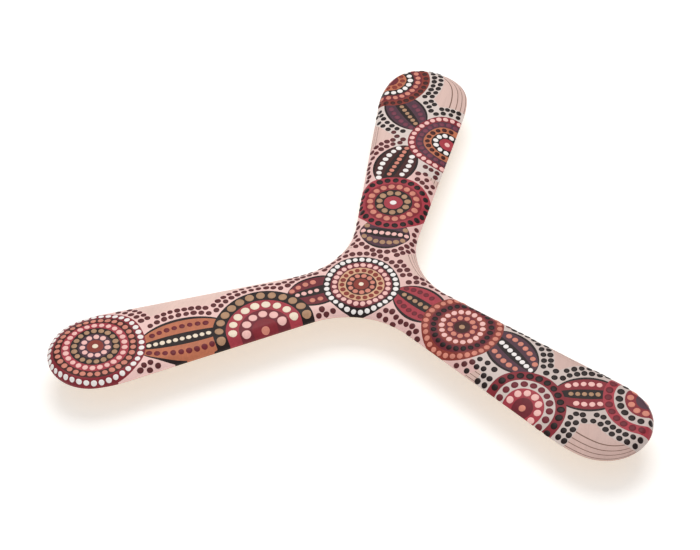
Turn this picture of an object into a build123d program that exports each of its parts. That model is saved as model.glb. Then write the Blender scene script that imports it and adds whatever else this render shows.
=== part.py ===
from build123d import *
import math
import os

import numpy as np

# Three-blade throwing boomerang, right-handed, cut from one sheet of five-ply wood.
# The flat underside lies in the plane z = 0 and +Z points up through the painted, airfoil-shaped
# face. The origin is the hub centre on the underside, and the first blade points along +Y.
# All sizes are in millimetres.

# ---- plan view, measured on one blade: stations run outward from the hub centre ----
blade_count = 3
blade_reach = 140.0            # hub centre to the end of a blade
near_station = 32.0            # where the neck offsets are measured
far_station = 104.0            # where the broad-end offsets are measured
leading_near = 13.5            # blade centre line to the leading edge, at the neck
leading_far = 18.6             # and at the broad end
trailing_near = 14.1           # blade centre line to the trailing edge, at the neck
trailing_far = 19.9            # and at the broad end
elbow_radius = 35.0            # concave arc that joins one blade to the next
nose_fullness = 1.045          # blade half width at the nose centre, over the nose radius
shoulder_ratio = 2.55          # shoulder radius over nose radius

# ---- laminate, from the underside up ----
veneer_names = (
    "bottom_face_veneer",
    "lower_cross_veneer",
    "core_veneer",
    "upper_cross_veneer",
    "top_face_veneer",
)
veneer_count = len(veneer_names)
veneer_thickness = 0.70
glue_thickness = 0.12
paint_thickness = 0.12
bare_rim_height = 0.25         # the rim is left unpainted this far up from the underside

# ---- airfoil: each edge is a low wall, then a parabola that fades into the flat top ----
leading_wall = 1.10            # height of the wall
leading_width = 4.5            # width of the rounding in plan
trailing_wall = 0.45
trailing_width_near = 8.0      # at the neck
trailing_width_far = 13.0      # at the broad end
nose_wall = 0.80
nose_width = 4.0
elbow_wall = 0.80
elbow_width = 6.0

level_step = 0.24              # tallest slice between two outlines

laminate_height = veneer_count * veneer_thickness + (veneer_count - 1) * glue_thickness


def inset(height, wall, width):
    """How far the surface lies inside the plan outline at a given height."""
    if height <= wall:
        return 0.0
    left = max(laminate_height - height, 0.0) / (laminate_height - wall)
    return width * (1.0 - math.sqrt(left))


def edge_line(near, far, side):
    """Outward unit normal of a straight blade edge, and its distance from the hub centre.

    Points are (outward, sideways) on the blade; side is +1 for the leading edge, -1 for trailing.
    """
    flare = math.atan2(far - near, far_station - near_station)
    normal = np.array([-math.sin(flare), side * math.cos(flare)])
    return normal, float(normal @ np.array([near_station, side * near]))


def nose_circle(leading, trailing, reach):
    """Centre and radius of the blade's round end, midway between its two straight edges."""
    (lead_normal, lead_distance), (trail_normal, trail_distance) = leading, trailing
    equations = np.array(
        [
            [lead_normal[0], lead_normal[1], 1.0],
            [trail_normal[0], trail_normal[1], 1.0],
            [1.0, 0.0, 1.0 / nose_fullness],
        ]
    )
    along, across, half_width = np.linalg.solve(equations, [lead_distance, trail_distance, reach])
    return np.array([along, across]), half_width / nose_fullness


def shoulder(line, nose_centre, nose_radius):
    """The gentler arc from a straight edge to the nose: its two ends and its middle point."""
    normal, distance = line
    radius = shoulder_ratio * nose_radius
    rise = distance - radius - normal @ nose_centre
    run = math.sqrt((radius - nose_radius) ** 2 - rise**2)
    outward = np.array([abs(normal[1]), -normal[0] * math.copysign(1.0, normal[1])])
    centre = nose_centre + rise * normal - run * outward
    on_edge = centre + radius * normal
    to_nose = (nose_centre - centre) / np.linalg.norm(nose_centre - centre)
    on_nose = centre + radius * to_nose
    halfway = (normal + to_nose) / np.linalg.norm(normal + to_nose)
    return on_edge, centre + radius * halfway, on_nose


def turned(point, blade, height):
    """A blade point placed on blade 0, 1 or 2 at a height; blade 0 lies along +Y."""
    angle = math.radians(90.0 + blade * 360.0 / blade_count)
    x = point[0] * math.cos(angle) - point[1] * math.sin(angle)
    y = point[0] * math.sin(angle) + point[1] * math.cos(angle)
    return Vector(x, y, height)


def outline(height, level, grow):
    """Closed outline of the whole boomerang at a height on the airfoil.

    height picks the insets, level is the z where the wire is drawn, and grow moves it outward.
    """
    leading_inset = inset(height, leading_wall, leading_width) - grow
    trailing_near_inset = inset(height, trailing_wall, trailing_width_near) - grow
    trailing_far_inset = inset(height, trailing_wall, trailing_width_far) - grow
    nose_inset = inset(height, nose_wall, nose_width) - grow
    bend = elbow_radius + inset(height, elbow_wall, elbow_width) - grow

    leading = edge_line(leading_near - leading_inset, leading_far - leading_inset, 1)
    trailing = edge_line(trailing_near - trailing_near_inset, trailing_far - trailing_far_inset, -1)
    centre, radius = nose_circle(leading, trailing, blade_reach - nose_inset)
    lead_start, lead_mid, lead_end = shoulder(leading, centre, radius)
    trail_start, trail_mid, trail_end = shoulder(trailing, centre, radius)
    nose_tip = centre + np.array([radius, 0.0])

    # The elbow arc touches this blade's leading edge and the next blade's trailing edge.
    step = math.radians(360.0 / blade_count)
    turn = np.array([[math.cos(step), -math.sin(step)], [math.sin(step), math.cos(step)]])
    next_normal = turn @ trailing[0]
    elbow_centre = np.linalg.solve(
        np.array([leading[0], next_normal]), [leading[1] + bend, trailing[1] + bend]
    )
    elbow_start = elbow_centre - bend * leading[0]
    elbow_end = elbow_centre - bend * next_normal
    middle_way = (leading[0] + next_normal) / np.linalg.norm(leading[0] + next_normal)
    elbow_mid = elbow_centre - bend * middle_way
    trail_root = turn.T @ elbow_end

    route = (
        (trail_root, trail_start, trail_mid, trail_end, nose_tip)
        + (lead_end, lead_mid, lead_start, elbow_start, elbow_mid, elbow_end)
    )
    edges = []
    for blade in range(blade_count):
        placed = [turned(point, blade, level) for point in route]
        edges.append(Edge.make_line(*placed[0:2]))                  # trailing edge
        edges.append(Edge.make_three_point_arc(*placed[1:4]))       # trailing shoulder
        edges.append(Edge.make_three_point_arc(*placed[3:6]))       # nose
        edges.append(Edge.make_three_point_arc(*placed[5:8]))       # leading shoulder
        edges.append(Edge.make_line(*placed[7:9]))                  # leading edge
        edges.append(Edge.make_three_point_arc(*placed[8:11]))      # elbow
    return Wire(edges)


def heights_between(low, high):
    """Heights of the outlines that one layer is lofted through."""
    slices = max(1, math.ceil((high - low) / level_step))
    return [low + (high - low) * index / slices for index in range(slices + 1)]


def layers():
    """Name and outline heights of every ply and glue line, from the underside up."""
    low = 0.0
    for number, name in enumerate(veneer_names, start=1):
        high = low + veneer_thickness
        yield name, heights_between(low, high)
        low = high
        if number < veneer_count:
            high = low + glue_thickness
            yield f"glue_line_{number}", heights_between(low, high)
            low = high


def stack(heights, lift=0.0, grow=0.0):
    """The airfoil body between the outlines at these heights, raised by lift and grown outward."""
    wires = [outline(height, height + lift, grow) for height in heights]
    return Solid.make_loft(wires, ruled=True)


def paint_film(heights):
    """The airfoil grown by the film's thickness, less the laminate that it covers."""
    covered = [height for height in heights if height > bare_rim_height]
    film = stack([bare_rim_height - paint_thickness, *covered], paint_thickness, paint_thickness)
    return (film - stack(heights)).solids()[0]


def save(solid, node):
    """Write one named piece to its own file."""
    solid.label = node
    export_step(solid, f"parts/{node}.step")


os.makedirs("parts", exist_ok=True)
all_heights = [0.0]
for node, layer in layers():
    save(stack(layer), node)
    all_heights += layer[1:]
save(paint_film(all_heights), "paint_coat")
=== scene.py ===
import math
import random

import bpy
import numpy as np
from mathutils import Matrix, Vector
from mathutils.bvhtree import BVHTree
from mathutils.geometry import delaunay_2d_cdt


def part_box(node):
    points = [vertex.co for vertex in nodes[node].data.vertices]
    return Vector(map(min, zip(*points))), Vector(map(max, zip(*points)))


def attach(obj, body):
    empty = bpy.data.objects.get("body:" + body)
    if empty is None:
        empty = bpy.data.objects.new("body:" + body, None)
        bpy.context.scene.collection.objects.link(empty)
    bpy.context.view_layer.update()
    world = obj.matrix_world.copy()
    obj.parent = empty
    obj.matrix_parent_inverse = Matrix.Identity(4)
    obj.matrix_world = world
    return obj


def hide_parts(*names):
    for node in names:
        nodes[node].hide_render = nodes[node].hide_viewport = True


# A painted plywood tri-blade boomerang. The plies stay as CAD made them and get wood materials. The
# paint film is built here: one smooth airfoil skin, divided into painted areas, with raised paint
# dots on it. The painted pattern is a generic one of rings, leaves and rows of dots.

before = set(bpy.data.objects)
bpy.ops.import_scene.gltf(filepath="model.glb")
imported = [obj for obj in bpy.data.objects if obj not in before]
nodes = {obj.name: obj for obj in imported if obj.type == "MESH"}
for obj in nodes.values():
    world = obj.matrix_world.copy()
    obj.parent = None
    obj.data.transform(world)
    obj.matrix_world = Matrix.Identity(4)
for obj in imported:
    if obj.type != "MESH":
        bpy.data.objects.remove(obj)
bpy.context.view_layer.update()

MM = 0.001                     # plan work below is in millimetres, meshes are in metres
dice = random.Random(7)


def node_heights(name):
    """Lowest and highest point of a CAD node, in millimetres."""
    low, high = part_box(name)
    return low[2] / MM, high[2] / MM


# ---- sizes, read from the frame where the frame has them ----
rim_bottom, skin_top = node_heights("paint_coat")
laminate_top = node_heights("top_face_veneer")[1]
paint_thickness = skin_top - laminate_top
blade_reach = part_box("paint_coat")[1][1] / MM - paint_thickness
glue_nodes = ["glue_line_1", "glue_line_2", "glue_line_3", "glue_line_4"]
glue_heights = [node_heights(name) for name in glue_nodes]

# ---- plan view of one blade; stations run outward from the hub centre ----
blade_count = 3
near_station, far_station = 32.0, 104.0
leading_near, leading_far = 13.5, 18.6
trailing_near, trailing_far = 14.1, 19.9
elbow_radius = 35.0
nose_fullness = 1.045
shoulder_ratio = 2.55

# ---- airfoil: a low wall at each edge, then a parabola that fades into the flat top ----
leading_wall, leading_width = 1.10, 4.5
trailing_wall, trailing_width_near, trailing_width_far = 0.45, 8.0, 13.0
nose_wall, nose_width = 0.80, 4.0
elbow_wall, elbow_width = 0.80, 6.0

# ---- how finely outlines are drawn: points on each straight, shoulder, nose and elbow ----
straight_steps, shoulder_steps, nose_steps, elbow_steps = 40, 8, 48, 24

# ---- how finely the skin is drawn: rings over the airfoil's curve, and the least height between two ----
curve_steps, closest_levels = 14, 0.015


# =====================================================================================
# Airfoil surface
# =====================================================================================

def inset(height, wall, width):
    """How far the surface lies inside the plan outline at a given height."""
    if height <= wall:
        return 0.0
    left = max(laminate_top - height, 0.0) / (laminate_top - wall)
    return width * (1.0 - math.sqrt(left))


def edge_line(near, far, side):
    """Outward normal of a straight blade edge and its distance from the hub centre."""
    flare = math.atan2(far - near, far_station - near_station)
    normal = np.array([-math.sin(flare), side * math.cos(flare)])
    return normal, float(normal @ np.array([near_station, side * near]))


def arc(centre, start, end, steps):
    """Points from start towards end round a centre, the short way, without the end point."""
    first = math.atan2(*(start - centre)[::-1])
    sweep = math.atan2(*(end - centre)[::-1]) - first
    sweep = (sweep + math.pi) % (2 * math.pi) - math.pi
    angles = first + sweep * np.arange(steps) / steps
    radius = np.linalg.norm(start - centre)
    return centre + radius * np.column_stack([np.cos(angles), np.sin(angles)])


def straight(start, end, steps):
    """Points from start towards end, without the end point."""
    return start + np.outer(np.arange(steps) / steps, end - start)


def shoulder(line, nose_centre, nose_radius):
    """The gentle arc between a straight edge and the nose: its centre and its two ends."""
    normal, distance = line
    radius = shoulder_ratio * nose_radius
    rise = distance - radius - normal @ nose_centre
    run = math.sqrt((radius - nose_radius) ** 2 - rise**2)
    outward = np.array([abs(normal[1]), -normal[0] * math.copysign(1.0, normal[1])])
    centre = nose_centre + rise * normal - run * outward
    to_nose = (nose_centre - centre) / np.linalg.norm(nose_centre - centre)
    return centre, centre + radius * normal, centre + radius * to_nose


def rotated(points, degrees):
    """Plan points turned anticlockwise about the hub centre."""
    angle = math.radians(degrees)
    turn = np.array([[math.cos(angle), -math.sin(angle)], [math.sin(angle), math.cos(angle)]])
    return np.asarray(points) @ turn.T


def blade_angle(blade):
    """Direction of a blade in plan; blade 0 lies along +Y."""
    return 90.0 + blade * 360.0 / blade_count


def outline(height, grow=0.0):
    """Plan outline of the whole boomerang at a height on the airfoil, moved outward by grow."""
    leading_inset = inset(height, leading_wall, leading_width) - grow
    near_inset = inset(height, trailing_wall, trailing_width_near) - grow
    far_inset = inset(height, trailing_wall, trailing_width_far) - grow
    nose_inset = inset(height, nose_wall, nose_width) - grow
    bend = elbow_radius + inset(height, elbow_wall, elbow_width) - grow
    leading = edge_line(leading_near - leading_inset, leading_far - leading_inset, 1)
    trailing = edge_line(trailing_near - near_inset, trailing_far - far_inset, -1)

    (lead_normal, lead_distance), (trail_normal, trail_distance) = leading, trailing
    along, across, half_width = np.linalg.solve(
        [[*lead_normal, 1.0], [*trail_normal, 1.0], [1.0, 0.0, 1.0 / nose_fullness]],
        [lead_distance, trail_distance, blade_reach - nose_inset],
    )
    nose_centre, nose_radius = np.array([along, across]), half_width / nose_fullness
    lead_centre, lead_start, lead_end = shoulder(leading, nose_centre, nose_radius)
    trail_centre, trail_start, trail_end = shoulder(trailing, nose_centre, nose_radius)

    step = 360.0 / blade_count
    next_normal = rotated(trail_normal, step)
    elbow_centre = np.linalg.solve(
        [lead_normal, next_normal], [lead_distance + bend, trail_distance + bend]
    )
    elbow_start = elbow_centre - bend * lead_normal
    elbow_end = elbow_centre - bend * next_normal
    one_blade = np.vstack([
        straight(rotated(elbow_end, -step), trail_start, straight_steps),
        arc(trail_centre, trail_start, trail_end, shoulder_steps),
        arc(nose_centre, trail_end, lead_end, nose_steps),
        arc(lead_centre, lead_end, lead_start, shoulder_steps),
        straight(lead_start, elbow_start, straight_steps),
        arc(elbow_centre, elbow_start, elbow_end, elbow_steps),
    ])
    return np.vstack([rotated(one_blade, blade_angle(blade)) for blade in range(blade_count)])


def skin_levels():
    """Laminate heights of the rings that the skin is drawn through, closest near the flat top."""
    walls = [leading_wall, trailing_wall, nose_wall]
    climb = laminate_top - trailing_wall
    curve = [laminate_top - climb * (1 - step / curve_steps) ** 2 for step in range(curve_steps + 1)]
    glue = [height for pair in glue_heights for height in pair]
    chosen = []
    for height in sorted(walls + curve + glue):
        if not chosen or height - chosen[-1] > closest_levels or height in glue:
            chosen.append(height)
    return chosen


levels = skin_levels()


def widest_outline():
    """The painted plan outline: the foot of the rim, let out where the flank of a tip bulges over it."""
    foot = outline(0.0, paint_thickness)
    along = np.roll(foot, -1, axis=0) - np.roll(foot, 1, axis=0)
    outward = np.column_stack([along[:, 1], -along[:, 0]]) / np.linalg.norm(along, axis=1)[:, None]
    rings = [outline(height, paint_thickness) for height in levels]
    bulge = np.max([((ring - foot) * outward).sum(axis=1) for ring in rings], axis=0)
    return foot + outward * np.maximum(bulge, 0.0)[:, None]


planform = widest_outline()


def skin_tree():
    """The bare airfoil surface, for dropping points on to it."""
    rings = [outline(height, paint_thickness) for height in [rim_bottom - paint_thickness, *levels]]
    heights = [rim_bottom, *(height + paint_thickness for height in levels)]
    count = len(planform)
    points = [(x, y, z) for ring, z in zip(rings, heights) for x, y in ring]
    faces = []
    for level in range(len(rings) - 1):
        base, above = level * count, (level + 1) * count
        for spot in range(count):
            after = (spot + 1) % count
            faces.append((base + spot, base + after, above + after, above + spot))
    faces.append(tuple(range((len(rings) - 1) * count, len(rings) * count)))
    return BVHTree.FromPolygons(points, faces)


tree = skin_tree()
down = Vector((0.0, 0.0, -1.0))
edge_starts, edge_steps = planform, np.roll(planform, -1, axis=0) - planform
squared_lengths = (edge_steps**2).sum(axis=1)

ray_start = 20.0               # height from which rays drop on to the skin
rim_margin = 0.01              # closer to the rim than this, a ray could slip down the wall
rim_looks = (rim_margin, 5 * rim_margin, 20 * rim_margin)    # distances in, to look for the rim's top
rim_share = 0.2                # a dot's middle lies at least this share of its radius inside the outline


def nearest_rim(point):
    """Nearest point of the plan outline, the way out from it, and the distance: negative outside."""
    offset = point - edge_starts
    share = np.clip((offset * edge_steps).sum(axis=1) / squared_lengths, 0.0, 1.0)
    spots = edge_starts + share[:, None] * edge_steps
    gaps = np.linalg.norm(point - spots, axis=1)
    nearest = int(gaps.argmin())
    step = edge_steps[nearest] / math.sqrt(squared_lengths[nearest])
    outward = np.array([step[1], -step[0]])
    outside = outward @ (point - spots[nearest]) > 0
    return spots[nearest], outward, -float(gaps[nearest]) if outside else float(gaps[nearest])


def to_rim(point):
    """Distance from a plan point in to the plan outline, negative outside it."""
    return nearest_rim(point)[2]


def fits_rim(point, dot_radius):
    """Whether a dot's middle is far enough inside the plan outline for the dot to wrap down the rim."""
    return to_rim(point) > rim_share * dot_radius


def rim_height(spot, outward):
    """Height of the skin just inside a point of the plan outline."""
    for step in rim_looks:
        hit = tree.ray_cast(Vector((*(spot - step * outward), ray_start)), down)[0]
        if hit is not None:
            return hit.z
    raise ValueError("a point of the plan outline has no skin beside it")


def on_skin(x, y):
    """Point and normal of the skin under a plan point; past the outline it wraps down the rim."""
    hit, normal, _, _ = tree.ray_cast(Vector((x, y, ray_start)), down)
    if hit is not None and hit.z > leading_wall + paint_thickness:
        return hit, normal
    spot, outward, gap = nearest_rim(np.array([x, y]))
    if hit is not None and gap > rim_margin:
        return hit, normal
    height = max(rim_height(spot, outward) + min(gap, 0.0), rim_bottom)
    return Vector((*spot, height)), Vector((*outward, 0.0))


# =====================================================================================
# Painted pattern, in plan
# =====================================================================================

fills = []                     # (outline, colour) in painting order
dots = []                      # (x, y, radius, colour)

# ---- motifs ----
hand_waves = ((3, 0.010), (5, 0.007))    # waves round a hand-painted ring, and their share of its radius
hub_place = (-4.0, -5.6)       # the hub's roundel is painted off centre, towards two of the blades
hub_radius = 16.2
covered_share = 0.8            # of its radius: a leaf's dot this near a roundel, or nearer, is left out

# ---- rows of dots round the motifs ----
field_dot = 1.29               # radius of a dot
field_pitch = 3.05             # from dot to dot along a row
field_rows = (2.1, 5.0)        # from a motif to the middle of each row
field_stray = 0.1              # how far a dot strays from its place, each way
closest_dots = 2.62            # between the middles of two dots in the rows
gap_lines = (2.1, 3.0, 3.9, 4.8, 5.7)    # from a motif, where pockets between the rows are filled
gap_dots = 2.75                # between the middle of a filling dot and any other
dark_starts = (92.0, 200.0, 62.0)    # along each blade, where dots turn charcoal; 200 is past its tip
dark_scatter = 5.0             # how far that change is scattered, each way

# ---- beds and ground ----
bed_reach = 6.5                # how far the pale bed under the rows reaches past a motif
frost_lead = 6.0               # how much nearer the hub than the dots the beds change colour
thick_wash_blade = 1           # here thicker ground paint hides the glue lines
thick_wash_start = 22.0        # along that blade
thick_wash_half_width, thick_wash_past_tip = 30.0, 5.0


def along_line(line, pitch, trim):
    """Points evenly spaced along an open line, from a trim after its start to one before its end."""
    run = np.concatenate([[0.0], np.cumsum(np.linalg.norm(np.diff(line, axis=0), axis=1))])
    count = max(1, round((run[-1] - 2 * trim) / pitch) + 1)
    at = np.linspace(min(trim, run[-1] / 2), max(run[-1] - trim, run[-1] / 2), count)
    return np.column_stack([np.interp(at, run, line[:, 0]), np.interp(at, run, line[:, 1])])


class Roundel:
    """Even rings in rings. Bands are (colour, colour of the dots on it), from the outside in."""

    dot_share = 0.35           # radius of a dot, as a share of its band
    dot_pitch = 2.5            # from dot to dot round a ring, in radii of a dot
    fewest_points = 24         # of an outline
    points_per_mm = 8          # of its radius

    def __init__(self, centre, radius, bands):
        self.centre, self.radius = np.asarray(centre, float), radius
        self.bands, self.width = bands, radius / len(bands)
        self.phase = dice.uniform(0, 2 * math.pi)

    def around(self, radius, angles):
        """Points at these angles on an almost even ring."""
        waves = sum(depth * np.sin(number * angles + self.phase) for number, depth in hand_waves)
        return self.centre + (radius * (1 + waves) * np.array([np.cos(angles), np.sin(angles)])).T

    def line(self, grow):
        """The outline, moved outward by grow."""
        steps = max(self.fewest_points, round((self.radius + grow) * self.points_per_mm))
        return self.around(self.radius + grow, np.linspace(0, 2 * math.pi, steps, endpoint=False))

    def holds(self, point, grow):
        """Whether a point lies inside the outline moved outward by grow."""
        return np.linalg.norm(point - self.centre) < self.radius + grow

    def fills(self):
        """The bands as areas, each covered by the next."""
        return [(self.line(-number * self.width), colour) for number, (colour, _) in enumerate(self.bands)]

    def dots(self):
        """One dot in the middle of the innermost band, and a ring of dots on each of the rest."""
        size = self.dot_share * self.width
        made = [(*self.centre, size, self.bands[-1][1])]
        for number, (_, colour) in enumerate(self.bands[:-1]):
            middle = self.radius - (number + 0.5) * self.width
            count = round(2 * math.pi * middle / (size * self.dot_pitch))
            angles = dice.uniform(0, 2 * math.pi) + np.linspace(0, 2 * math.pi, count, endpoint=False)
            made.extend((x, y, size, colour) for x, y in self.around(middle, angles))
        return made


class Leaf:
    """A blunt dark leaf, turned by an angle in degrees, with a dotted lobe each side of a dotted midrib."""

    bluntness = 0.62           # lower is blunter
    lobe = (0.28, 0.88)        # inner and outer edge of a lobe, as shares of the leaf's half width
    lobe_reach = 0.92          # length of a lobe, as a share of the leaf's
    lobe_row = 0.6             # where the dots of a lobe run, as a share of the leaf's half width
    row_reach = 0.86           # length of the midrib's row of dots, as a share of the leaf's
    row_taper = 0.16           # how much of that a row at the leaf's edge would lose
    lobe_dot, rib_dot = 1.25, 1.10      # radii
    dot_pitch = 2.55           # from dot to dot along a row, in radii of a dot
    side_points = 28

    def __init__(self, centre, half_length, half_width, degrees, lobe_colour, lobe_dots, rib_dots):
        self.centre, self.degrees = np.asarray(centre, float), degrees
        self.half_length, self.half_width = half_length, half_width
        self.colours = (lobe_colour, lobe_dots, rib_dots)

    def side(self, grow, share, reach=1.0):
        """A line along the leaf; share -1 and 1 are its two edges, 0 its midrib."""
        along = reach * np.sin(np.linspace(-math.pi / 2, math.pi / 2, self.side_points))
        across = share * (self.half_width + grow) * (1.0 - along**2) ** self.bluntness
        local = np.column_stack([along * (self.half_length + grow), across])
        return self.centre + rotated(local, self.degrees)

    def line(self, grow):
        """The outline, moved outward by grow."""
        return np.vstack([self.side(grow, -1.0)[:-1], self.side(grow, 1.0)[:0:-1]])

    def holds(self, point, grow):
        """Whether a point lies inside the outline moved outward by grow."""
        along, across = rotated(point - self.centre, -self.degrees)
        along = abs(along) / (self.half_length + grow)
        return along < 1.0 and abs(across) < (self.half_width + grow) * (1.0 - along**2) ** self.bluntness

    def fills(self):
        """The dark leaf, then its two lobes."""
        made = [(self.line(0.0), "charcoal")]
        inner, outer = self.lobe
        for low, high in ((inner, outer), (-outer, -inner)):
            low_side = self.side(0.0, low, self.lobe_reach)
            high_side = self.side(0.0, high, self.lobe_reach)
            made.append((np.vstack([low_side, high_side[::-1]]), self.colours[0]))
        return made

    def dots(self):
        """A row of dots along each lobe and one along the midrib."""
        _, lobe_dots, rib_dots = self.colours
        rows = (
            (self.lobe_row, self.lobe_dot, lobe_dots),
            (0.0, self.rib_dot, rib_dots),
            (-self.lobe_row, self.lobe_dot, lobe_dots),
        )
        made = []
        for share, size, colour in rows:
            row = self.side(0.0, share, self.row_reach - self.row_taper * abs(share))
            made.extend((x, y, size, colour) for x, y in along_line(row, size * self.dot_pitch, 0.0))
        return made


# ---- roundel designs: (colour, colour of the dots on it) of each band, from the outside in ----
hub = (("charcoal", "white"), ("maroon", "pink"), ("cream", "brick"), ("espresso", "salmon"),
       ("brick", "ivory"))
wheel = (("crimson", "charcoal"), ("ruby", "salmon"), ("charcoal", "tan"), ("crimson", "white"))
brick_wheel = (("brick", "salmon"), ("maroon", "charcoal"), ("brick", "pink"), ("maroon", "salmon"),
               ("espresso", "tan"))
fan = (("ruby", "pink"), ("plum", "mauve"), ("clay", "espresso"), ("charcoal", "white"),
       ("crimson", "pink"))
pale_fan = (("ruby", "charcoal"), ("frost", "maroon"), ("crimson", "pink"), ("maroon", "salmon"))
sunrise = (("brick", "espresso"), ("maroon", "salmon"), ("charcoal", "white"), ("clay", "brick"),
           ("maroon", "pink"))
rose = (("crimson", "maroon"), ("frost", "charcoal"), ("ruby", "salmon"), ("plum", "pink"))
shell = (("charcoal", "tan"), ("crimson", "ivory"), ("maroon", "pink"), ("ruby", "salmon"))
sun = (("ruby", "white"), ("espresso", "salmon"), ("crimson", "pink"), ("charcoal", "tan"),
       ("plum", "pink"), ("brick", "ivory"))


def motifs():
    """Every leaf, then every roundel: along, across, size, turn and colours, blade by blade."""
    leaf_plan = {
        0: [(26.5, 0.0, 11.0, 9.5, 90.0, "plum", "tan", "pink"),
            (70.5, 3.5, 14.0, 9.5, -14.0, "espresso", "white", "salmon"),
            (107.0, 5.5, 14.0, 9.0, 38.0, "plum", "mauve", "tan")],
        1: [(25.0, 0.0, 13.0, 8.5, 0.0, "maroon", "salmon", "pink"),
            (84.0, 7.5, 21.0, 11.5, -3.0, "clay", "maroon", "ivory")],
        2: [(26.0, 0.0, 13.5, 9.5, 0.0, "crimson", "maroon", "tan"),
            (72.0, 3.0, 14.0, 9.5, -14.0, "plum", "salmon", "white"),
            (109.0, 4.5, 14.0, 9.0, 38.0, "ruby", "pink", "tan")],
    }
    roundel_plan = {
        0: [(46.0, 0.0, 16.5, wheel), (90.0, -16.5, 17.5, fan), (128.0, 16.5, 18.0, sunrise)],
        1: [(51.5, 13.5, 21.5, shell), (120.1, -0.7, 20.8, sun)],
        2: [(47.5, 1.0, 17.0, brick_wheel), (92.5, -16.5, 17.5, pale_fan), (129.0, 16.5, 17.5, rose)],
    }
    leaves, roundels = [], [Roundel(hub_place, hub_radius, hub)]
    for blade, rows in leaf_plan.items():
        for along, across, half_length, half_width, tilt, *colours in rows:
            centre = rotated([along, across], blade_angle(blade))
            leaves.append(Leaf(centre, half_length, half_width, blade_angle(blade) + tilt, *colours))
    for blade, rows in roundel_plan.items():
        for along, across, radius, design in rows:
            roundels.append(Roundel(rotated([along, across], blade_angle(blade)), radius, design))
    return leaves, roundels


def open_runs(motif, others, grow):
    """The stretches of the line round a motif that lie on the blades and clear of other motifs."""
    line = motif.line(grow)
    free = [fits_rim(point, field_dot) and not any(other.holds(point, grow) for other in others)
            for point in line]
    if all(free):
        return [np.vstack([line, line[:1]])]
    first = free.index(False)
    runs, run = [], []
    for step in range(1, len(line) + 1):
        spot = (first + step) % len(line)
        if free[spot]:
            run.append(line[spot])
        elif run:
            runs.append(np.array(run))
            run = []
    return [run for run in runs if len(run) > 1]


def is_dark(point, shift=0.0):
    """Whether the field's dots are charcoal here, as they are far out on two of the blades."""
    along = {blade: rotated(point, -blade_angle(blade))[0] for blade in range(blade_count)}
    blade = max(along, key=along.get)
    return along[blade] + shift > dark_starts[blade]


def place_dot(point, placed, gap):
    """Add a dot of the field, with its place on the skin, unless another is closer than the gap."""
    spot = np.array(on_skin(*point)[0])
    if not placed or np.linalg.norm(np.array(placed)[:, 2:] - spot, axis=1).min() > gap:
        placed.append((*point, *spot))


def row_dots(all_motifs, placed):
    """Rows of dots round the whole chain of motifs."""
    for grow in field_rows:
        for motif in all_motifs:
            others = [other for other in all_motifs if other is not motif]
            for run in open_runs(motif, others, grow):
                for x, y in along_line(run, field_pitch, field_pitch / 2):
                    x += dice.uniform(-field_stray, field_stray)
                    y += dice.uniform(-field_stray, field_stray)
                    place_dot(np.array([x, y]), placed, closest_dots)


def pocket_dots(all_motifs, placed):
    """Dots in the pockets that the rows leave."""
    for grow in gap_lines:
        for motif in all_motifs:
            others = [other for other in all_motifs if other is not motif]
            for point in motif.line(grow):
                crowded = any(other.holds(point, gap_lines[0]) for other in others)
                if not crowded and fits_rim(point, field_dot):
                    place_dot(point, placed, gap_dots)


def field_dots(all_motifs):
    """The rows, the pockets, and then the colour of each dot in them."""
    placed = []
    row_dots(all_motifs, placed)
    pocket_dots(all_motifs, placed)
    for x, y, *_ in placed:
        dark = is_dark(np.array([x, y]), dice.uniform(-dark_scatter, dark_scatter))
        dots.append((x, y, field_dot, "charcoal" if dark else "umber"))


def paint_ground():
    """The ground, the glue lines that show through it, and the wash that hides them on one blade."""
    fills.append((planform, "ground"))
    glue_lows = [low for low, _ in glue_heights]
    lowest_wall = min(leading_wall, nose_wall, elbow_wall)
    for height in levels:
        if height > lowest_wall or height in sum(glue_heights, ()):
            fills.append((outline(height, paint_thickness), "glue" if height in glue_lows else "ground"))
    far, half = blade_reach + thick_wash_past_tip, thick_wash_half_width
    corners = [(thick_wash_start, -half), (far, -half), (far, half), (thick_wash_start, half)]
    fills.append((rotated(corners, blade_angle(thick_wash_blade)), "ground"))


def lay_out_pattern():
    """The ground, the beds, the leaves and the roundels, and then the dots on and round them."""
    paint_ground()
    leaves, roundels = motifs()
    for colour in ("bed", "frost"):
        fills.extend((motif.line(bed_reach), colour) for motif in leaves + roundels
                     if is_dark(motif.centre, frost_lead) == (colour == "frost"))
    for motif in leaves + roundels:
        fills.extend(motif.fills())
    for leaf in leaves:
        for x, y, radius, colour in leaf.dots():
            if not any(roundel.holds(np.array([x, y]), radius * covered_share) for roundel in roundels):
                dots.append((x, y, radius, colour))
    for roundel in roundels:
        dots.extend(roundel.dots())
    field_dots(leaves + roundels)


# =====================================================================================
# Paint meshes
# =====================================================================================

motif_lift = 0.035             # how far the film of a motif stands above the skin
lifts = {"ground": 0.0, "glue": 0.0, "bed": 0.012, "frost": 0.012}       # the same for the other films
film_depth = 0.09              # how far a film reaches below the skin
inside_faces, merge_distance = 1, 1e-5   # of the triangulation: faces inside outlines, joined corners
crease = math.radians(35)      # edges sharper than this stay sharp


def divide_plan():
    """Triangles of the plan outline, each with the colour of the last fill that covers it."""
    points, faces = [], []
    for line, _ in fills:
        faces.append(list(range(len(points), len(points) + len(line))))
        points.extend(Vector((float(x), float(y))) for x, y in line)
    corners, _, triangles, _, _, sources = delaunay_2d_cdt(points, [], faces, inside_faces, merge_distance)
    by_colour = {}
    for triangle, source in zip(triangles, sources):
        if 0 in source:
            by_colour.setdefault(fills[max(source)][1], []).append(triangle)
    return [(corner.x, corner.y) for corner in corners], by_colour


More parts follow.
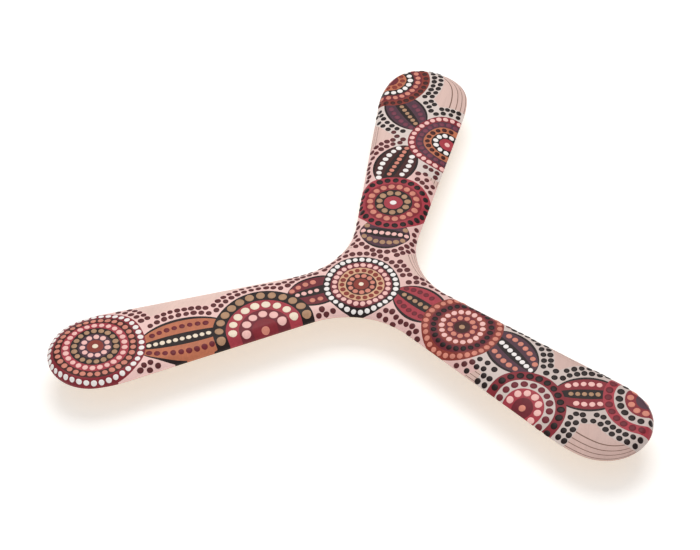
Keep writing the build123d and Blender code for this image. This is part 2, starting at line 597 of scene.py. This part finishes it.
def film_mesh(triangles, top, bottom):
    """A closed film: the triangles, the same ones below, and a wall along every open edge."""
    used = sorted({corner for triangle in triangles for corner in triangle})
    place = {corner: spot for spot, corner in enumerate(used)}
    count = len(used)
    points = [top[corner] for corner in used] + [bottom[corner] for corner in used]
    faces, edges = [], set()
    for triangle in triangles:
        spots = [place[corner] for corner in triangle]
        faces.append(spots)
        faces.append([spot + count for spot in reversed(spots)])
        edges.update(zip(spots, spots[1:] + spots[:1]))
    for start, end in sorted(edges):
        if (end, start) not in edges:
            faces.append([end, start, start + count, end + count])
    return points, faces


dome_height = 0.16             # as a share of the dot's radius
dome_foot = -0.30              # as a share of that height: the foot lies inside the film below
dome_rings = ((1.0, dome_foot), (0.98, 0.25), (0.86, 0.62), (0.50, 0.93))    # share of radius and height
dome_sides = 18
dot_sizes = (0.93, 1.06)       # dots vary between these shares of their radius
dot_stretches = (0.95, 1.05)   # and are this far from round


def dot_mesh(x, y, radius, lift):
    """One domed, slightly uneven paint dot that follows the skin."""
    radius *= dice.uniform(*dot_sizes)
    stretch, turn = dice.uniform(*dot_stretches), dice.uniform(0, math.pi)
    middle, slope = on_skin(x, y)
    downhill = np.array([slope.x, slope.y])
    squeeze = np.outer(downhill, downhill) / (1.0 + slope.z)     # keeps the dot round on a slope
    points = []
    for share, rise in dome_rings:
        for side in range(dome_sides):
            angle = 2 * math.pi * side / dome_sides
            local = share * radius * np.array([math.cos(angle) * stretch, math.sin(angle) / stretch])
            local = rotated(local, math.degrees(turn))
            spot = np.array([x, y]) + local - squeeze @ local
            base, normal = on_skin(*spot)
            points.append(base + normal * (lift + rise * dome_height * radius))
    for rise in (1.0, dome_foot):
        points.append(middle + slope * (lift + rise * dome_height * radius))
    faces = []
    for ring in range(len(dome_rings) - 1):
        for side in range(dome_sides):
            after = (side + 1) % dome_sides
            low, high = ring * dome_sides, (ring + 1) * dome_sides
            faces.append([low + side, low + after, high + after, high + side])
    top_ring, apex, foot = (len(dome_rings) - 1) * dome_sides, len(points) - 2, len(points) - 1
    for side in range(dome_sides):
        after = (side + 1) % dome_sides
        faces.append([top_ring + side, top_ring + after, apex])
        faces.append([after, side, foot])
    return points, faces


def new_piece(name, points, faces, material):
    """A mesh object in metres from points in millimetres."""
    mesh = bpy.data.meshes.new(name)
    mesh.from_pydata([(p[0] * MM, p[1] * MM, p[2] * MM) for p in points], [], faces)
    mesh.materials.append(material)
    mesh.shade_smooth()
    mesh.set_sharp_from_angle(angle=crease)
    piece = bpy.data.objects.new(name, mesh)
    bpy.context.scene.collection.objects.link(piece)
    return piece


def paint_pieces(materials):
    """One piece per colour: its films and its dots."""
    plan, by_colour = divide_plan()
    skin = [on_skin(x, y)[0] for x, y in plan]
    at_rim = [to_rim(np.array(spot)) < 2 * rim_margin for spot in plan]
    pieces = {}
    for colour, material in materials.items():
        lift = lifts.get(colour, motif_lift)
        points, faces = [], []
        if colour in by_colour:
            top = [(p.x, p.y, p.z + lift) for p in skin]
            bottom = [(p.x, p.y, rim_bottom if rim else p.z - film_depth) for p, rim in zip(skin, at_rim)]
            points, faces = film_mesh(by_colour[colour], top, bottom)
        for x, y, radius, dot_colour in dots:
            if dot_colour == colour and fits_rim(np.array([x, y]), radius):
                more_points, more_faces = dot_mesh(x, y, radius, motif_lift)
                base = len(points)
                points.extend(more_points)
                faces.extend([[corner + base for corner in face] for face in more_faces])
        pieces[colour] = new_piece(f"paint_{colour}", points, faces, material)
    return pieces


# =====================================================================================
# Materials
# =====================================================================================

def linear(red, green, blue):
    """An sRGB colour, 0 to 255, as linear light."""
    shares = (red / 255, green / 255, blue / 255)
    return tuple(s / 12.92 if s <= 0.04045 else ((s + 0.055) / 1.055) ** 2.4 for s in shares)


class Nodes:
    """Short ways to add and join shader nodes."""

    coat_roughness = 0.25

    def __init__(self, name):
        self.material = bpy.data.materials.new(name)
        self.material.use_nodes = True
        self.tree = self.material.node_tree
        self.shader = next(node for node in self.tree.nodes if node.type == "BSDF_PRINCIPLED")
        self.place = self.tree.nodes.new("ShaderNodeTexCoord").outputs["Object"]

    def join(self, source, target):
        self.tree.links.new(source, target)

    def stretched(self, scale, turn=0.0):
        mapping = self.tree.nodes.new("ShaderNodeMapping")
        mapping.inputs["Scale"].default_value = scale
        mapping.inputs["Rotation"].default_value = (0.0, 0.0, turn)
        self.join(self.place, mapping.inputs["Vector"])
        return mapping.outputs["Vector"]

    def noise(self, vector, scale, detail=3.0, roughness=0.55, distortion=0.0):
        node = self.tree.nodes.new("ShaderNodeTexNoise")
        node.inputs["Scale"].default_value = scale
        node.inputs["Detail"].default_value = detail
        node.inputs["Roughness"].default_value = roughness
        node.inputs["Distortion"].default_value = distortion
        self.join(vector, node.inputs["Vector"])
        return node.outputs["Fac"]

    def spread(self, value, source, target):
        """A value moved from one range to another, and held inside it."""
        node = self.tree.nodes.new("ShaderNodeMapRange")
        for name, number in zip(("From Min", "From Max", "To Min", "To Max"), (*source, *target)):
            node.inputs[name].default_value = number
        self.join(value, node.inputs["Value"])
        return node.outputs["Result"]

    def mix(self, factor, first, second, blend="MIX"):
        """Mix two colours; a factor or colour is either a number, a colour or a node's output."""
        node = self.tree.nodes.new("ShaderNodeMix")
        node.data_type, node.blend_type = "RGBA", blend
        sockets = [node.inputs[0], *[s for s in node.inputs if s.type == "RGBA"]]
        for socket, value in zip(sockets, (factor, first, second)):
            if isinstance(value, bpy.types.NodeSocket):
                self.join(value, socket)
            else:
                socket.default_value = value if isinstance(value, float) else (*value, 1.0)
        return next(socket for socket in node.outputs if socket.type == "RGBA")

    def across(self, towards, start, end):
        """0 at one distance from the origin along a plan direction, 1 at another."""
        node = self.tree.nodes.new("ShaderNodeVectorMath")
        node.operation = "DOT_PRODUCT"
        node.inputs[1].default_value = (*towards, 0.0)
        self.join(self.place, node.inputs[0])
        return self.spread(node.outputs["Value"], (start, end), (0.0, 1.0))

    def bump(self, height, strength, distance):
        node = self.tree.nodes.new("ShaderNodeBump")
        node.inputs["Strength"].default_value = strength
        node.inputs["Distance"].default_value = distance
        self.join(height, node.inputs["Height"])
        self.join(node.outputs["Normal"], self.shader.inputs["Normal"])

    def finish(self, colour, roughness, coat=0.0, gloss=0.5):
        self.join(colour, self.shader.inputs["Base Color"])
        self.join(roughness, self.shader.inputs["Roughness"])
        self.shader.inputs["Specular IOR Level"].default_value = gloss
        self.shader.inputs["Coat Weight"].default_value = coat
        self.shader.inputs["Coat Roughness"].default_value = self.coat_roughness
        return self.material


streak_contrast = 1.4          # of brush streaks, against that of the broad patches
paint_gloss = 0.18             # the dried acrylic reflects less than bare lacquer
# Painted shade: the light's fall-off across the boomerang, from blade 1 towards blade 2, multiplied into
# the colour of the ground wash and the pale beds.
shade_falloff_direction = math.radians(10)      # in plan, from +X towards +Y
shade_falloff_start, shade_falloff_end = -0.04, 0.09     # metres from the hub centre in that direction
shade_falloff_share = (0.73, 0.70, 0.70)      # what the painted shade brings the colour down to at the far end, as a share


def shade(colour, share):
    """A colour made lighter or darker."""
    return tuple(min(1.0, part * share) for part in colour)


def painted_falloff_shade(made, base):
    """Painted shade: the ground and the pale beds darken from blade 1 across to blade 2, as the light falls
    off.
    """
    towards = (math.cos(shade_falloff_direction), math.sin(shade_falloff_direction))
    darker = made.across(towards, shade_falloff_start, shade_falloff_end)
    return made.mix(darker, base, shade_falloff_share, "MULTIPLY")


def paint_material(name, colour, contrast, brushed):
    """Hand-brushed acrylic: uneven cover, faint brush streaks and a satin film."""
    made = Nodes(name)
    cover = made.noise(made.place, scale=260.0, detail=4.0, roughness=0.6)
    along_strokes = made.stretched((1.0, 0.22, 1.0), turn=0.6)
    streaks = made.noise(along_strokes, scale=1500.0, detail=3.0, roughness=0.65)
    patch = made.spread(cover, (0.3, 0.7), (0.0, 1.0))
    base = made.mix(patch, shade(colour, 1.0 - contrast), shade(colour, 1.0 + contrast))
    fine = made.spread(streaks, (0.35, 0.65), (0.0, 0.45))
    final = made.mix(fine, base, shade(colour, 1.0 - contrast * streak_contrast))
    # painted shade: the light's fall-off darkens the pale beds towards blade 2
    if name in ("paint_bed", "paint_frost"):
        final = painted_falloff_shade(made, final)
    if brushed:
        made.bump(streaks, strength=0.25, distance=0.00006)
    return made.finish(final, made.spread(cover, (0.3, 0.7), (0.36, 0.52)), gloss=paint_gloss)


def stained_wood_material(name, colour):
    """A thin pale wash on sanded birch: the grain along Y and fine pores still show."""
    made = Nodes(name)
    grain = made.noise(made.stretched((1.0, 0.05, 1.0)), scale=900.0, detail=4.0, roughness=0.6,
                       distortion=0.3)
    broad = made.noise(made.stretched((1.0, 0.18, 1.0)), scale=90.0, detail=3.0, roughness=0.5)
    speckle = made.noise(made.place, scale=2600.0, detail=2.0, roughness=0.7)
    patch = made.spread(broad, (0.3, 0.7), (0.0, 1.0))
    base = made.mix(patch, shade(colour, 0.93), shade(colour, 1.05))
    base = made.mix(made.spread(grain, (0.45, 0.75), (0.0, 0.5)), base, shade(colour, 0.80))
    base = made.mix(made.spread(speckle, (0.5, 0.75), (0.0, 0.5)), base, shade(colour, 1.15))
    # painted shade: the light's fall-off darkens the wash towards blade 2
    base = painted_falloff_shade(made, base)
    made.bump(grain, strength=0.3, distance=0.00005)
    return made.finish(base, made.spread(broad, (0.3, 0.7), (0.45, 0.6)))


def birch_material(name, pale, dark, along_y, roughness):
    """Rotary-cut birch: long soft figure, fine dark pores along the grain."""
    made = Nodes(name)
    lengthwise = (1.0, 0.06, 1.0) if along_y else (0.06, 1.0, 1.0)
    figure_way = (1.0, 0.16, 1.0) if along_y else (0.16, 1.0, 1.0)
    figure = made.noise(made.stretched(figure_way), scale=55.0, detail=4.0, roughness=0.55,
                        distortion=1.2)
    grain = made.noise(made.stretched(lengthwise), scale=1100.0, detail=4.0, roughness=0.6)
    pores = made.noise(made.stretched(lengthwise), scale=2600.0, detail=2.0, roughness=0.5)
    base = made.mix(made.spread(figure, (0.32, 0.68), (0.0, 1.0)), pale, dark)
    base = made.mix(made.spread(grain, (0.4, 0.7), (0.0, 0.55)), base, shade(dark, 0.86))
    base = made.mix(made.spread(pores, (0.66, 0.74), (0.0, 0.6)), base, shade(dark, 0.55))
    made.bump(grain, strength=0.3, distance=0.00008)
    sheen = made.spread(figure, (0.3, 0.7), (roughness - 0.06, roughness + 0.08))
    return made.finish(base, sheen, coat=0.25)


def glue_material(name, colour):
    """Dark adhesive film with a little unevenness."""
    made = Nodes(name)
    cover = made.noise(made.place, scale=900.0, detail=3.0)
    patch = made.spread(cover, (0.35, 0.65), (0.0, 1.0))
    base = made.mix(patch, shade(colour, 0.8), shade(colour, 1.25))
    return made.finish(base, made.spread(cover, (0.3, 0.7), (0.45, 0.65)))


palette = {
    "bed": (250, 208, 203),
    "frost": (238, 224, 218),
    "charcoal": (38, 26, 26),
    "espresso": (70, 32, 30),
    "umber": (96, 44, 46),
    "maroon": (116, 42, 52),
    "ruby": (138, 44, 54),
    "crimson": (172, 62, 74),
    "plum": (84, 54, 68),
    "mauve": (126, 64, 82),
    "brick": (142, 60, 50),
    "clay": (196, 118, 88),
    "salmon": (222, 142, 124),
    "tan": (186, 146, 116),
    "pink": (252, 198, 192),
    "cream": (224, 176, 142),
    "ivory": (252, 234, 212),
    "white": (253, 246, 244),
}
film_colours = (               # these get brush marks in relief, the colours of small areas don't
    "bed", "frost", "charcoal", "espresso", "maroon", "ruby", "crimson", "plum", "brick", "clay",
)
pale_from = 180                # a colour whose least part is above this is pale
pale_contrast, full_contrast = 0.07, 0.16


def paint_materials():
    """Material of every painted piece, by colour name."""
    made = {"ground": stained_wood_material("ground_wash", linear(238, 205, 195))}
    made["glue"] = glue_material("glue_line_through_wash", linear(112, 78, 62))
    for colour, rgb in palette.items():
        contrast = pale_contrast if min(rgb) > pale_from else full_contrast
        made[colour] = paint_material(f"paint_{colour}", linear(*rgb), contrast, colour in film_colours)
    return made


def dress_plies():
    """Wood and glue materials on the CAD nodes."""
    pale, dark = linear(228, 200, 160), linear(204, 168, 122)
    face = birch_material("birch_face", pale, dark, along_y=True, roughness=0.42)
    cross = birch_material("birch_cross", shade(pale, 0.92), shade(dark, 0.9), along_y=False,
                           roughness=0.5)
    glue = glue_material("glue_film", linear(70, 44, 34))
    for name in ("bottom_face_veneer", "core_veneer", "top_face_veneer"):
        nodes[name].material_slots[0].material = face
    for name in ("lower_cross_veneer", "upper_cross_veneer"):
        nodes[name].material_slots[0].material = cross
    for name in glue_nodes:
        nodes[name].material_slots[0].material = glue


# =====================================================================================
# Stage
# =====================================================================================

camera_elevation = math.radians(44.9)
camera_turn = math.radians(13.1)       # the view direction, turned from +Y towards -X
camera_roll = math.radians(2.3)
camera_distance = 0.857
aim_right, aim_up = -0.0097, 0.0037    # how far the line of sight passes from the hub centre
focal_length, sensor_width = 104.245714, 36.0     # in millimetres
see_to = 20.0                  # metres; the floor ends before that
floor_half = 6.0
floor_drop = 0.0145            # the boomerang hovers this far above the floor
floor_grey, floor_glow = 0.85, 0.34
world_light = 0.38


def add_camera():
    """The camera, looking down at the painted face."""
    turn = Matrix.Rotation(camera_turn, 3, "Z")
    right = turn @ Vector((1, 0, 0))
    up = turn @ Vector((0, math.sin(camera_elevation), math.cos(camera_elevation)))
    forward = turn @ Vector((0, math.cos(camera_elevation), -math.sin(camera_elevation)))
    place = aim_right * right + aim_up * up - camera_distance * forward
    rolled_right = math.cos(camera_roll) * right - math.sin(camera_roll) * up
    rolled_up = math.sin(camera_roll) * right + math.cos(camera_roll) * up
    data = bpy.data.cameras.new("camera")
    data.sensor_width = sensor_width
    data.sensor_fit = "HORIZONTAL"
    data.lens = focal_length
    data.clip_end = see_to
    camera = bpy.data.objects.new("camera", data)
    axes = Matrix((rolled_right, rolled_up, -forward)).transposed()
    camera.matrix_world = Matrix.Translation(place) @ axes.to_4x4()
    bpy.context.scene.collection.objects.link(camera)
    bpy.context.scene.camera = camera


def add_area_light(name, place, size, power, colour):
    """A square area light aimed at the hub."""
    data = bpy.data.lights.new(name, "AREA")
    data.shape, data.size, data.energy, data.color = "SQUARE", size, power, colour
    lamp = bpy.data.objects.new(name, data)
    lamp.location = place
    lamp.rotation_euler = (-Vector(place)).to_track_quat("-Z", "Y").to_euler()
    bpy.context.scene.collection.objects.link(lamp)


def add_floor():
    """Pale paper that glows a little."""
    floor = bpy.data.meshes.new("floor")
    corners = [(-floor_half, -floor_half), (floor_half, -floor_half), (floor_half, floor_half),
               (-floor_half, floor_half)]
    floor.from_pydata([(x, y, -floor_drop) for x, y in corners], [], [(0, 1, 2, 3)])
    paper = bpy.data.materials.new("paper")
    paper.use_nodes = True
    shader = paper.node_tree.nodes["Principled BSDF"]
    shader.inputs["Base Color"].default_value = (floor_grey, floor_grey, floor_grey, 1)
    shader.inputs["Roughness"].default_value = 1.0
    shader.inputs["Emission Color"].default_value = (1.0, 0.995, 0.99, 1)
    shader.inputs["Emission Strength"].default_value = floor_glow
    floor.materials.append(paper)
    ground = bpy.data.objects.new("floor", floor)
    bpy.context.scene.collection.objects.link(ground)


def add_lights():
    """Even light from the world, a soft key light from above and behind, and a weak fill in front."""
    world = bpy.data.worlds.new("world")
    world.use_nodes = True
    background = world.node_tree.nodes["Background"]
    background.inputs["Color"].default_value = (1.0, 0.985, 0.97, 1)
    background.inputs["Strength"].default_value = world_light
    bpy.context.scene.world = world
    add_area_light("key", place=(-0.06, 0.62, 1.30), size=1.1, power=12.6, colour=(1.0, 0.985, 0.96))
    add_area_light("fill", place=(0.05, -0.60, 0.80), size=1.4, power=2.6, colour=(1.0, 0.985, 0.97))
    bpy.context.scene.view_settings.view_transform = "Standard"


# =====================================================================================
# Build
# =====================================================================================

lay_out_pattern()
pieces = paint_pieces(paint_materials())
for piece in pieces.values():
    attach(piece, "root")
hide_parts("paint_coat")
dress_plies()
add_floor()
add_lights()
add_camera()
